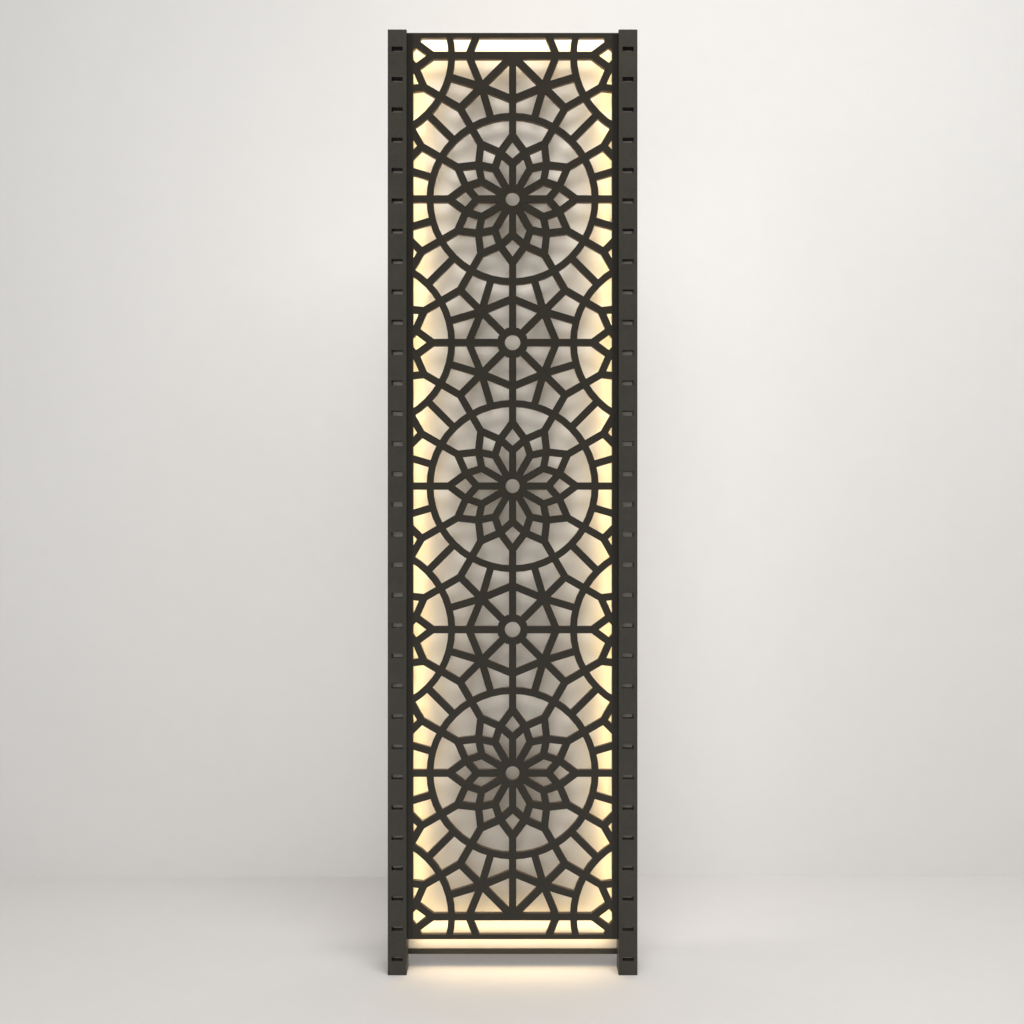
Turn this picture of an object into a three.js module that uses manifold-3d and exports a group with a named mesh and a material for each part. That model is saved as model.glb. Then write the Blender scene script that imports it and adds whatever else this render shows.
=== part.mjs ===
// A freestanding backlit fretwork screen: a laser-cut sheet held between two slotted posts,
// with a back board in a rebate behind it and light strips hidden behind the sheet's border.
// Millimetres, +Z up, the front faces -Y. The origin is the middle of the footprint.
import * as THREE from 'three';
import { mergeVertices } from 'three/addons/utils/BufferGeometryUtils.js';
import Module from 'manifold-3d';

const wasm = await Module();
wasm.setup();

// Posts
const POST_WIDTH = 48;
const POST_DEPTH = 98;
const POST_ARRIS_RADIUS = 1.5;
const POST_GAP = 538;
const POST_FOOT_HEIGHT = 88;
const POST_TOP_REVEAL = 5.5;

// Sheet and the grooves that hold it
const SHEET_THICKNESS = 12;
const SHEET_RECESS = 8;
const SHEET_ENGAGEMENT = 5.5;
const SIDE_BORDER = 16;
const END_BORDER = 12.5;
const GROOVE_CLEARANCE = 0.3;

// Fretwork pattern
const ROSETTE_ROWS = 3;
const HALF_PITCH = 365.5;
const END_BAND = 44.25;
const BAR_WIDTH = 18.5;
const CIRCLE_BAR_WIDTH = 17.5;
const CIRCLE_RADIUS = 210.5;
const PETAL_TIP_RADIUS = 162;
const PETAL_CROSS_RADIUS = 123;
const PETAL_ROOT_RADIUS = 90.5;
const ROSETTE_HUB_RADIUS = 33;
const ROSETTE_HOLE_RADIUS = 18;
const ROSETTE_SPOKES = 12;
const STAR_RADIUS = 112;
const STAR_HUB_RADIUS = 39.5;
const STAR_HOLE_RADIUS = 20;
const STAR_SPOKES = 8;
const CIRCLE_SIDES = 48;
const HOLE_SIDES = 16;

// Slots in the post faces
const SLOT_WIDTH = 28;
const SLOT_HEIGHT = 12;
const SLOT_DEPTH = 24;
const SLOT_PITCH = 77;
const SLOT_END_MARGIN = 40;

// Back board, its rebate and the rail that carries it
const CAVITY_DEPTH = 30;
const REBATE_WIDTH = 12;
const BOARD_THICKNESS = 6;
const BOARD_CLEARANCE = 0.3;
const BOARD_SIDE_CLEARANCE = 0.5;
const RAIL_HEIGHT = 14;
const RAIL_LIFT = 34.5;
const RAIL_LIP = 4;
const RAIL_BACK_WALL = 6;
const RAIL_GROOVE_DEPTH = 8;
const RAIL_END_CLEARANCE = 0.3;

// Light strips on the back of the border
const STRIP_WIDTH = 8;
const STRIP_THICKNESS = 4;
const STRIP_SETBACK = 2.5;
const STRIP_CLEARANCE = 0.3;

// How far a bar's end runs past the point where bars meet, as a share of the bar's width
const BAR_END_SHARE = 0.25;

// Extra length that carries a cut clean through a face
const OVERCUT = 5;

// Two bar ends closer than this are the same point
const SAME_POINT = 0.01;

// Worked out from the sizes above
const windowHalfWidth = POST_GAP / 2 - SIDE_BORDER;
const endLine = ROSETTE_ROWS * HALF_PITCH;
const windowHalfHeight = endLine + END_BAND;
const sheetHalfWidth = POST_GAP / 2 + SHEET_ENGAGEMENT;
const sheetHalfHeight = windowHalfHeight + END_BORDER;
const sheetCentreZ = POST_FOOT_HEIGHT + GROOVE_CLEARANCE + sheetHalfHeight;
const sheetTopZ = sheetCentreZ + sheetHalfHeight;
const postHeight = sheetTopZ + POST_TOP_REVEAL - GROOVE_CLEARANCE;
const frontY = -POST_DEPTH / 2;
const backY = POST_DEPTH / 2;
const sheetFrontY = frontY + SHEET_RECESS;
const sheetBackY = sheetFrontY + SHEET_THICKNESS;
const shoulderY = sheetBackY + CAVITY_DEPTH;
const boardFrontY = shoulderY + BOARD_CLEARANCE;
const boardBackY = boardFrontY + BOARD_THICKNESS;
const boardHalfWidth = POST_GAP / 2 + REBATE_WIDTH - BOARD_SIDE_CLEARANCE;
const boardBottomZ = RAIL_LIFT + RAIL_HEIGHT - RAIL_GROOVE_DEPTH + BOARD_CLEARANCE;
const rosetteStep = 360 / ROSETTE_SPOKES;
const starStep = 360 / STAR_SPOKES;
const slotCount = Math.floor((postHeight - 2 * SLOT_END_MARGIN) / SLOT_PITCH) + 1;

// Materials
const paint = { color: 0x403d37, roughness: 0.55, metalness: 0.25 };
const boardWhite = { color: 0xf1ece2, roughness: 0.8, metalness: 0 };
const warmLens = { color: 0xfff3d8, roughness: 0.5, metalness: 0, emissive: 0xffc877 };

// Turns a closed three.js geometry into a solid that can be joined and cut.
function solidOf(geometry) {
  const bare = geometry.clone();
  bare.deleteAttribute('normal');
  bare.deleteAttribute('uv');
  const merged = mergeVertices(bare);
  const mesh = new wasm.Mesh({
    numProp: 3,
    vertProperties: new Float32Array(merged.attributes.position.array),
    triVerts: new Uint32Array(merged.index.array),
  });
  return new wasm.Manifold(mesh);
}

// Turns a solid back into a three.js geometry.
function geometryOf(solid) {
  const mesh = solid.getMesh();
  const geometry = new THREE.BufferGeometry();
  geometry.setAttribute('position', new THREE.BufferAttribute(new Float32Array(mesh.vertProperties), 3));
  geometry.setIndex(new THREE.BufferAttribute(new Uint32Array(mesh.triVerts), 1));
  geometry.computeVertexNormals();
  return geometry;
}

// Joins a list of solids in pairs, so that no single join grows long.
function joined(solids) {
  let row = solids;
  while (row.length > 1) {
    const next = [];
    for (let i = 0; i < row.length; i += 2) {
      next.push(i + 1 < row.length ? row[i].add(row[i + 1]) : row[i]);
    }
    row = next;
  }
  return row[0];
}

// A solid box between two corners.
function block(low, high) {
  const size = high.map((value, axis) => value - low[axis]);
  const geometry = new THREE.BoxGeometry(...size);
  geometry.translate(...low.map((value, axis) => value + size[axis] / 2));
  return solidOf(geometry);
}

// The sheet is drawn flat: x across, y up, and its thickness along z from 0.
// A cutter or bar that stands proud of both faces takes one or two overcuts.
function plate(shape, overcuts = 0) {
  const proud = overcuts * OVERCUT;
  const depth = SHEET_THICKNESS + 2 * proud;
  const geometry = new THREE.ExtrudeGeometry(shape, { depth, bevelEnabled: false });
  geometry.translate(0, 0, -proud);
  return solidOf(geometry);
}

// A regular outline with a corner at angle zero, so that circles meet the bars on their corners.
function roundOutline(centre, radius, sides, PathClass = THREE.Shape) {
  const points = [];
  for (let i = 0; i < sides; i += 1) {
    const angle = (i / sides) * 2 * Math.PI;
    points.push(new THREE.Vector2(
      centre.x + radius * Math.cos(angle),
      centre.y + radius * Math.sin(angle),
    ));
  }
  return new PathClass(points);
}

function rectangle(halfWidth, halfHeight) {
  return new THREE.Shape([
    new THREE.Vector2(-halfWidth, -halfHeight),
    new THREE.Vector2(halfWidth, -halfHeight),
    new THREE.Vector2(halfWidth, halfHeight),
    new THREE.Vector2(-halfWidth, halfHeight),
  ]);
}

// One straight bar of the fretwork from a to b. It runs a little past both, into the bars it meets.
function bar(a, b) {
  const along = b.clone().sub(a).normalize();
  const across = new THREE.Vector2(-along.y, along.x).multiplyScalar(BAR_WIDTH / 2);
  const past = along.multiplyScalar(BAR_WIDTH * BAR_END_SHARE);
  const start = a.clone().sub(past);
  const end = b.clone().add(past);
  return plate(new THREE.Shape([
    start.clone().sub(across),
    end.clone().sub(across),
    end.clone().add(across),
    start.clone().add(across),
  ]), 2);
}

function polar(radius, degrees, centre = new THREE.Vector2()) {
  const angle = THREE.MathUtils.degToRad(degrees);
  return new THREE.Vector2(radius * Math.cos(angle), radius * Math.sin(angle)).add(centre);
}

// Where a diagonal of a star meets the outermost spoke of a rosette, in a quarter cell.
function kneePoint() {
  const slope = Math.tan(THREE.MathUtils.degToRad(2 * rosetteStep));
  const across = HALF_PITCH / (1 + slope);
  return new THREE.Vector2(across, HALF_PITCH - across);
}

// The bars of a rosette that lie between two angles: spokes, two rows of petals, and the links that
// run out through its circle to a star's arm on the square axes and to a knee elsewhere.
function rosetteBars(centre, fromAngle, toAngle) {
  const kneeReach = kneePoint().length();
  const bars = [];
  for (let angle = fromAngle; angle <= toAngle; angle += rosetteStep) {
    const root = polar(PETAL_ROOT_RADIUS, angle, centre);
    const tip = polar(PETAL_TIP_RADIUS, angle, centre);
    const reach = angle % 90 === 0 ? HALF_PITCH - STAR_RADIUS : kneeReach;
    bars.push([centre, root]);
    bars.push([tip, polar(reach, angle, centre)]);
    for (const side of [-rosetteStep / 2, rosetteStep / 2]) {
      const cross = polar(PETAL_CROSS_RADIUS, angle + side, centre);
      bars.push([root, cross]);
      bars.push([cross, tip]);
    }
  }
  return bars;
}

// The bars of one quarter cell: a rosette at (0, 0), its like at the far corner, and a star at each
// of the other two corners. One star's own spokes are kept apart, because the end bands leave them out.
function quarterCell() {
  const centre = new THREE.Vector2(0, 0);
  const corner = new THREE.Vector2(HALF_PITCH, HALF_PITCH);
  const star = new THREE.Vector2(0, HALF_PITCH);
  const arm = (steps) => polar(STAR_RADIUS, steps * starStep, star);
  const edges = [
    [arm(-2), arm(-1)],
    [arm(-1), arm(0)],
    [arm(-1), polar(CIRCLE_RADIUS, 2.5 * rosetteStep)],
    [arm(-1), polar(CIRCLE_RADIUS, 6.5 * rosetteStep, corner)],
  ];
  const spokes = [[star, arm(-2)], [star, kneePoint()], [star, arm(0)]];
  const swap = (pair) => pair.map((point) => new THREE.Vector2(point.y, point.x));
  const links = [
    ...edges,
    ...edges.map(swap),
    ...spokes.map(swap),
    [polar(CIRCLE_RADIUS, 1.5 * rosetteStep), polar(CIRCLE_RADIUS, 7.5 * rosetteStep, corner)],
    ...rosetteBars(centre, 0, 90),
    ...rosetteBars(corner, 180, 270),
  ];
  return { links, spokes };
}

// A point's place on a fine grid, as text, so that a bar met twice is known again.
function gridName(point) {
  return `${Math.round(point.x / SAME_POINT)} ${Math.round(point.y / SAME_POINT)}`;
}

// Every bar of the sheet, each written once. A cell's bar is mirrored by the signs and moved to its row.
// A bar whose middle line stays behind a side border is left out.
function allBars() {
  const { links, spokes } = quarterCell();
  const seen = new Map();
  const place = (pairs, rowY, signX, signY) => {
    for (const pair of pairs) {
      const [a, b] = pair.map((point) => new THREE.Vector2(signX * point.x, rowY + signY * point.y));
      const inside = Math.min(Math.abs(a.x), Math.abs(b.x)) < windowHalfWidth
        && Math.min(Math.abs(a.y), Math.abs(b.y)) < windowHalfHeight + BAR_WIDTH;
      const ends = [a, b].map(gridName).sort();
      if (inside) {
        seen.set(ends.join(' '), [a, b]);
      }
    }
  };
  for (let row = 0; row < ROSETTE_ROWS; row += 1) {
    const rowY = (2 * row - ROSETTE_ROWS + 1) * HALF_PITCH;
    for (const signX of [-1, 1]) {
      for (const signY of [-1, 1]) {
        place(links, rowY, signX, signY);
        place(spokes, rowY, signX, signY);
      }
    }
  }
  for (const signX of [-1, 1]) {
    for (const end of [-1, 1]) {
      place(links, end * (endLine + HALF_PITCH), signX, -end);
    }
  }
  return [...seen.values()];
}

// The centres of the rosettes on the middle line and of those that the border cuts on either side.
function rosetteCentres() {
  const centres = [];
  for (let step = -ROSETTE_ROWS; step <= ROSETTE_ROWS; step += 1) {
    const onMiddle = (step + ROSETTE_ROWS) % 2 === 1;
    const across = onMiddle ? [0] : [-HALF_PITCH, HALF_PITCH];
    for (const x of across) {
      centres.push(new THREE.Vector2(x, step * HALF_PITCH));
    }
  }
  return centres;
}

// The stars whose hubs show whole: those between two rosettes of the middle line.
function starCentres() {
  const centres = [];
  for (let step = -ROSETTE_ROWS + 2; step <= ROSETTE_ROWS - 2; step += 2) {
    centres.push(new THREE.Vector2(0, step * HALF_PITCH));
  }
  return centres;
}

function disc(centre, radius, overcuts) {
  return plate(roundOutline(centre, radius, HOLE_SIDES), overcuts);
}

function circleRing(centre) {
  const shape = roundOutline(centre, CIRCLE_RADIUS + CIRCLE_BAR_WIDTH / 2, CIRCLE_SIDES);
  shape.holes.push(roundOutline(centre, CIRCLE_RADIUS - CIRCLE_BAR_WIDTH / 2, CIRCLE_SIDES, THREE.Path));
  return plate(shape, 2);
}

// The sheet: everything in the window between the bars, rings and hubs is cut out, as the laser cuts it,
// and then the hubs are pierced.
function fretworkSolid() {
  const rosettes = rosetteCentres();
  const middleRosettes = rosettes.filter((centre) => centre.x === 0);
  const stars = starCentres();
  const pattern = joined([
    ...allBars().map(([a, b]) => bar(a, b)),
    ...rosettes.map(circleRing),
    ...middleRosettes.map((centre) => disc(centre, ROSETTE_HUB_RADIUS, 2)),
    ...stars.map((centre) => disc(centre, STAR_HUB_RADIUS, 2)),
  ]);
  const piercings = joined([
    ...middleRosettes.map((centre) => disc(centre, ROSETTE_HOLE_RADIUS, 1)),
    ...stars.map((centre) => disc(centre, STAR_HOLE_RADIUS, 1)),
  ]);
  const waste = plate(rectangle(windowHalfWidth, windowHalfHeight), 1).subtract(pattern);
  return plate(rectangle(sheetHalfWidth, sheetHalfHeight)).subtract(waste).subtract(piercings);
}

// One post. side is -1 for the left and 1 for the right; its inner face looks at the sheet.
function postSolid(side) {
  const innerX = POST_GAP / 2;
  const outerX = innerX + POST_WIDTH;
  const span = (near, far) => (side > 0 ? [near, far] : [-far, -near]);
  const cut = (near, far, yLow, yHigh, zLow, zHigh) => {
    const [xLow, xHigh] = span(near, far);
    return block([xLow, yLow, zLow], [xHigh, yHigh, zHigh]);
  };
  const section = new THREE.Shape();
  const halfWidth = POST_WIDTH / 2;
  const r = POST_ARRIS_RADIUS;
  section.absarc(halfWidth - r, backY - r, r, 0, Math.PI / 2);
  section.absarc(-halfWidth + r, backY - r, r, Math.PI / 2, Math.PI);
  section.absarc(-halfWidth + r, frontY + r, r, Math.PI, 1.5 * Math.PI);
  section.absarc(halfWidth - r, frontY + r, r, 1.5 * Math.PI, 2 * Math.PI);
  const stock = new THREE.ExtrudeGeometry(section, { depth: postHeight, bevelEnabled: false, curveSegments: 2 });
  stock.translate(side * (innerX + outerX) / 2, 0, 0);
  const grooveFront = sheetFrontY - GROOVE_CLEARANCE;
  const grooveBack = sheetBackY + GROOVE_CLEARANCE;
  const grooveX = sheetHalfWidth + GROOVE_CLEARANCE;
  const rebateX = innerX + REBATE_WIDTH;
  const cuts = [
    cut(innerX - OVERCUT, grooveX, grooveFront, grooveBack, POST_FOOT_HEIGHT, postHeight + OVERCUT),
    cut(innerX - OVERCUT, rebateX, shoulderY, backY + OVERCUT, -OVERCUT, postHeight + OVERCUT),
  ];
  const middleX = innerX + POST_WIDTH / 2;
  for (let i = 0; i < slotCount; i += 1) {
    const z = SLOT_END_MARGIN + i * SLOT_PITCH;
    cuts.push(cut(
      middleX - SLOT_WIDTH / 2,
      middleX + SLOT_WIDTH / 2,
      frontY - OVERCUT,
      frontY + SLOT_DEPTH,
      z - SLOT_HEIGHT / 2,
      z + SLOT_HEIGHT / 2,
    ));
  }
  return solidOf(stock).subtract(joined(cuts));
}

// The rail between the posts: a U section whose groove carries the board's lower edge.
function railGeometry() {
  const low = RAIL_LIFT;
  const high = RAIL_LIFT + RAIL_HEIGHT;
  const grooveFloor = high - RAIL_GROOVE_DEPTH;
  const front = boardFrontY - BOARD_CLEARANCE - RAIL_LIP;
  const grooveFront = boardFrontY - BOARD_CLEARANCE;
  const grooveBack = boardBackY + BOARD_CLEARANCE;
  const back = grooveBack + RAIL_BACK_WALL;
  const section = new THREE.Shape([
    new THREE.Vector2(front, low),
    new THREE.Vector2(back, low),
    new THREE.Vector2(back, high),
    new THREE.Vector2(grooveBack, high),
    new THREE.Vector2(grooveBack, grooveFloor),
    new THREE.Vector2(grooveFront, grooveFloor),
    new THREE.Vector2(grooveFront, high),
    new THREE.Vector2(front, high),
  ]);
  const halfLength = POST_GAP / 2 - RAIL_END_CLEARANCE;
  const geometry = new THREE.ExtrudeGeometry(section, { depth: 2 * halfLength, bevelEnabled: false });
  geometry.translate(0, 0, -halfLength);
  return geometry;
}

const screen = new THREE.Group();

function addPart(name, geometry, finish) {
  const mesh = new THREE.Mesh(geometry, new THREE.MeshStandardMaterial(finish));
  mesh.name = name;
  screen.add(mesh);
  return mesh;
}

function addBox(name, low, high, finish) {
  const size = high.map((value, axis) => value - low[axis]);
  const mesh = addPart(name, new THREE.BoxGeometry(...size), finish);
  mesh.position.set(...low.map((value, axis) => value + size[axis] / 2));
  return mesh;
}

addPart('post_left', geometryOf(postSolid(-1)), paint);
addPart('post_right', geometryOf(postSolid(1)), paint);

// The flat sheet is stood up: its height turns from y to z, and its thickness runs towards the front.
const sheet = addPart('fretwork_sheet', geometryOf(fretworkSolid()), paint);
sheet.rotation.x = Math.PI / 2;
sheet.position.set(0, sheetBackY, sheetCentreZ);

addBox(
  'back_board',
  [-boardHalfWidth, boardFrontY, boardBottomZ],
  [boardHalfWidth, boardBackY, sheetTopZ],
  boardWhite,
);

// The rail's section is drawn in depth and height, and its length turns to run along x.
const rail = addPart('bottom_rail', railGeometry(), paint);
const [alongX, alongY, alongZ] = [[1, 0, 0], [0, 1, 0], [0, 0, 1]].map((axis) => new THREE.Vector3(...axis));
rail.quaternion.setFromRotationMatrix(new THREE.Matrix4().makeBasis(alongY, alongZ, alongX));

// The strips follow the window just outside its edge, where the border hides them from the front.
const stripNear = STRIP_SETBACK;
const stripFar = STRIP_SETBACK + STRIP_WIDTH;
const stripFrontY = sheetBackY + STRIP_CLEARANCE;
const stripBackY = stripFrontY + STRIP_THICKNESS;
for (const [name, side] of [['light_strip_left', -1], ['light_strip_right', 1]]) {
  const edges = [side * (windowHalfWidth + stripNear), side * (windowHalfWidth + stripFar)];
  const reach = windowHalfHeight + stripFar;
  addBox(
    name,
    [Math.min(...edges), stripFrontY, sheetCentreZ - reach],
    [Math.max(...edges), stripBackY, sheetCentreZ + reach],
    warmLens,
  );
}
for (const [name, side] of [['light_strip_bottom', -1], ['light_strip_top', 1]]) {
  const edges = [
    sheetCentreZ + side * (windowHalfHeight + stripNear),
    sheetCentreZ + side * (windowHalfHeight + stripFar),
  ];
  const reach = windowHalfWidth + stripNear - STRIP_CLEARANCE;
  addBox(
    name,
    [-reach, stripFrontY, Math.min(...edges)],
    [reach, stripBackY, Math.max(...edges)],
    warmLens,
  );
}

export default screen;
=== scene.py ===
import math

import bmesh
import bpy
from bpy.props import FloatProperty, FloatVectorProperty, IntProperty, PointerProperty
from mathutils import Matrix, Vector
from mathutils.geometry import intersect_line_line


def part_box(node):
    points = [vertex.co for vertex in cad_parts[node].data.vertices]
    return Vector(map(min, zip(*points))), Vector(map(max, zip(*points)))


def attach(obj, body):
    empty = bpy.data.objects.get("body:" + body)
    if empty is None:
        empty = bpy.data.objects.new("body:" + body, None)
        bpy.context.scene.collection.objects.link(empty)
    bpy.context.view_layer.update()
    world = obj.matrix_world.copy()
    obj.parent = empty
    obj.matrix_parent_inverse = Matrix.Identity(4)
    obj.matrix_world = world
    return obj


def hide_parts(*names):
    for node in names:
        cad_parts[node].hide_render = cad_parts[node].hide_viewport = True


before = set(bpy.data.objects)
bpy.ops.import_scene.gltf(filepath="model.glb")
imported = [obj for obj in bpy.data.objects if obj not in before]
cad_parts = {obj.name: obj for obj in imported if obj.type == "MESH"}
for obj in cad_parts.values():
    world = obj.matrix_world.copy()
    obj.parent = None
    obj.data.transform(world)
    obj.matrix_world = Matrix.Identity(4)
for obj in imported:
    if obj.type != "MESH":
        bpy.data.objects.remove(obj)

bl_info = {
    "name": "Backlit fretwork screen",
    "version": (1, 0, 0),
    "blender": (4, 5, 0),
    "location": "3D View > Sidebar > Fretwork",
    "description": "Builds a backlit laser-cut screen in two slotted posts around its packed solids",
    "category": "Object",
}

BODY = "root"

# Limits for meshes and outlines, in metres and radians
WELD = 0.00001
SAME_PLANE = 0.0002
STRAIGHT = math.radians(0.5)
SLIGHT_BEND = math.radians(26)
SMOOTH_BELOW = math.radians(38)
OVERCUT = 0.01

# How finely rounded shapes are stepped
CORNER_STEP = math.radians(32)
ARRIS_STEPS = 3
POST_ARRIS_STEPS = 3
DOME_STEPS = 12
SCREW_SIDES = 16

# The most of an edge that one rounded corner takes
CORNER_REACH = 0.4

# A screw head from its seat to its crown as shares of its radius and rise, then its cross recess
SCREW_RINGS = ((1.0, 0.0), (1.0, 0.25), (0.93, 0.62), (0.72, 0.92), (0.42, 1.0))
RECESS_ARMS = 4
RECESS_ARM = 0.36
RECESS_CORE = 0.14
RECESS_FLOOR = 0.45

# Seed of the random turn of each screw
SCREW_SEED = 7

# Sizes in metres of the grains and of the widths that the wear covers
BOARD_GRAIN = 0.0030
FIBRE_GRAIN = 0.0012
LENS_GRAIN = 0.0008
SCREW_GRAIN = 0.0004
ROOM_GRAIN = 0.02
PAINT_WEAR_WIDTH = 0.0016
SCREW_WEAR_WIDTH = 0.0004
EVEN = (1.0, 1.0, 1.0)
FIBRES_UPRIGHT = (1.0, 1.0, 0.22)

# How the three layers of the fine grain compare: scale, detail and roughness
SLOW_GRAIN = (0.03, 4.0, 0.6)
CLOUDY_GRAIN = (0.3, 3.0, 0.6)
FINE_DETAIL = 2.0
GRAIN_CONTRAST = (0.35, 0.65)

# Patches of wear and specks of dust: scale, detail and roughness, then the range that counts
WEAR_NOISE = (38.0, 4.0, 0.65)
WEAR_PATCHES = (0.42, 0.68)
WEAR_EDGE = (0.995, 0.90)
BEVEL_SAMPLES = 4
DUST_NOISE = (240.0, 4.0, 0.7)
DUST_SPECKS = (0.30, 0.75)
DUST_LEVEL = (0.55, 0.95)

# How far a surface has to face along the depth to count as a wall, a rear or a slot's end
WALL_FACING = (0.55, 0.30)
REAR_FACING = (0.4, 0.7)
FRONT_FACING = -0.9

# The darkest and the lightest shade of a colour, as factors
PAINT_SHADES = (0.82, 1.16)
BOARD_SHADES = (0.965, 1.0)
RAW_SHADES = (0.72, 1.22)
SCREW_SHADES = (1.0, 1.8)
ROOM_SHADES = (0.985, 1.01)
LENS_DIM = 0.62

# Roughness from the darkest to the lightest grain
PAINT_GLOSS = (-0.05, 0.07)
BOARD_GLOSS = (0.72, 0.88)
LENS_GLOSS = (0.35, 0.5)
SCREW_GLOSS = (0.32, 0.45)
ROOM_GLOSS = (0.62, 0.70)
DUST_ROUGHNESS = 0.3

# Shares of wear, dust and toasted wall in each paint, and how strongly each surface mirrors
SHEET_WEAR, SHEET_DUST, SHEET_CUT = 0.5, 0.35, 0.8
POST_WEAR, POST_DUST = 0.45, 0.5
RAIL_WEAR, RAIL_DUST = 0.4, 0.5
SCREW_WEAR = 0.8
PAINT_SHINE = 0.45
BOARD_SHINE = 0.3
ROOM_SHINE = 0.25
SCREW_METAL = 0.9

# Depths of relief in metres
BOARD_RELIEF = 0.00008
LENS_RELIEF = 0.00003
SCREW_RELIEF = 0.00001

# How quickly the light of an LED falls off along its sleeve
LED_FALLOFF = 2.0

# Fixed colours
# Black is the colour of the painted shadow on the sheet's border beside the posts
SHADOW_BLACK = (0.0, 0.0, 0.0)
BARE_STEEL = (0.32, 0.31, 0.30)
PALE_LENS = (1.0, 0.97, 0.9)
WARM_WHITE = (1.0, 0.985, 0.965)
PLAIN_WHITE = (1.0, 1.0, 1.0)

# Skin round a slot that still counts as the slot
SLOT_SKIN = 0.0003

# Where the room's lights stand, what they look at and how large they are
KEY_PLACE, KEY_AIM, KEY_SIZE = (0.5, -2.2, 4.3), (0.4, -2.0, 0.0), (3.2, 2.2)
FILL_PLACE, FILL_SIZE = (-0.6, -4.2, 1.6), (3.0, 2.4)
WASH_SIDE, WASH_GAP, WASH_SIZE = 0.05, 0.07, (1.4, 2.2)
TOWARDS_WALL = Vector((0, 1, 0))
HALO_RISE = 0.002
HALO_COURSE = Vector((0, 0.9, 0.5))
SPILL_COURSE = Vector((0, -0.15, -1))
OPENING_SHARE = 0.9
OPENING_DEPTH = 0.02
LAMP_GAP = 0.0005

# Places that the pieces share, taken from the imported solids
SHEET_LOW, SHEET_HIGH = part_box("fretwork_sheet")
POST_LOW, POST_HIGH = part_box("post_right")
BOARD_LOW, BOARD_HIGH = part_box("back_board")
STRIP_NAMES = ("light_strip_left", "light_strip_right", "light_strip_bottom", "light_strip_top")
POST_SIDES = {"post_left": -1, "post_right": 1}
SHEET_MIDDLE = (SHEET_LOW + SHEET_HIGH) / 2
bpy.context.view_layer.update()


def length(name, description, default):
    """A length in metres that the sidebar shows with its unit."""
    return FloatProperty(
        name=name,
        description=description,
        default=default,
        subtype="DISTANCE",
        unit="LENGTH",
        precision=5,
    )


def amount(name, description, default, unit="NONE"):
    """A number that isn't a length, with its unit if it has one."""
    return FloatProperty(name=name, description=description, default=default, min=0, unit=unit)


def share(name, description, default):
    """A share between 0 and 1."""
    return FloatProperty(
        name=name,
        description=description,
        default=default,
        min=0,
        max=1,
        subtype="FACTOR",
    )


def colour(name, description, default):
    """A linear colour."""
    return FloatVectorProperty(
        name=name,
        description=description,
        default=default,
        size=3,
        min=0,
        max=1,
        subtype="COLOR",
    )


class PaintSettings(bpy.types.PropertyGroup):
    """The dark bronze paint on the sheet, the posts and the rail."""

    sheet_colour: colour("Sheet", "Paint on the cut sheet", (0.022, 0.018, 0.012))
    post_colour: colour("Posts", "Paint on the posts and the rail", (0.036, 0.033, 0.025))
    worn_colour: colour("Worn", "Paint that is rubbed thin along an edge", (0.095, 0.078, 0.060))
    cut_colour: colour("Cut walls", "Toasted walls of the laser cut", (0.110, 0.060, 0.026))
    dust_colour: colour("Dust", "Dust on what faces up", (0.32, 0.30, 0.27))
    roughness: share("Roughness", "Gloss of the satin paint", 0.46)
    grain_size: length("Grain", "Size of the paint's orange peel", 0.0022)
    grain_depth: length("Grain depth", "Depth of the paint's orange peel", 0.00006)
    # Painted shade on the sheet's border beside the posts, standing for the shadow there: how dark it gets
    # and the width it fades in over
    border_painted_shade: share("Border shade", "Darker coat on the sheet's border beside the posts", 0.5)
    border_shadow_fade: length("Border blend", "Width over which the darker coat fades in", 0.006)


class SheetSettings(bpy.types.PropertyGroup):
    """The laser-cut sheet."""

    arris: length("Arris", "Radius of the rubbed edge round each opening", 0.0005)
    corner: length("Corner", "Radius that the laser leaves in a corner", 0.0007)
    # Where the painted shade beside the posts begins, as a distance from the middle
    border_shadow_start: length("Border", "Distance of the side border from the middle", 0.251)
    nick: length("Nick", "Shorter edges of an outline are closed up", 0.0025)


class PostSettings(bpy.types.PropertyGroup):
    """The two slotted posts."""

    arris: length("Arris", "Radius of the post's four long edges", 0.0015)
    edge: length("Edge", "Radius of the edges of slots, grooves and ends", 0.0007)
    groove_clearance: length("Groove clearance", "Gap between the sheet and its groove", 0.0003)
    rebate_width: length("Rebate", "Width of the rebate for the back board", 0.012)
    board_clearance: length("Board clearance", "Gap between the board and its shoulder", 0.0003)
    slot_width: length("Slot width", "Width of a slot", 0.028)
    slot_height: length("Slot height", "Height of a slot", 0.012)
    slot_depth: length("Slot depth", "Depth of a slot", 0.024)
    slot_pitch: length("Slot pitch", "Distance from slot to slot", 0.077)
    slot_margin: length("Slot margin", "Height of the lowest slot's middle", 0.040)
    # Painted light: a pale colour on the slots' end walls stands for light that reaches them
    pocket_painted_light_colour: colour("Pocket", "Paler end wall of a slot", (0.62, 0.57, 0.50))
    # Painted shade: a near-black colour on the slots' walls stands for the shadow inside them
    slot_shadow_colour: colour("Slot", "Dark walls of a slot", (0.004, 0.0035, 0.003))


class BoardSettings(bpy.types.PropertyGroup):
    """The back board, its rail and its screws."""

    edge: length("Edge", "Radius of the board's edges", 0.0005)
    rail_edge: length("Rail edge", "Radius of the rail's edges", 0.0006)
    front_colour: colour("Front", "Matt off-white face", (0.88, 0.835, 0.765))
    raw_colour: colour("Raw", "Bare fibreboard on the back", (0.30, 0.20, 0.115))
    screw_radius: length("Screw", "Radius of a screw head", 0.0036)
    screw_rise: length("Screw rise", "How far a screw head stands proud", 0.0022)
    screw_margin: length("Screw margin", "From the board's end to the first screw", 0.085)
    screw_inset: length("Screw inset", "From the board's side to the screws", 0.0055)
    screw_count: IntProperty(name="Screws", description="Screws on each side", default=9, min=2)
    screw_colour: colour("Screw colour", "Blackened steel", (0.06, 0.058, 0.055))


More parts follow.
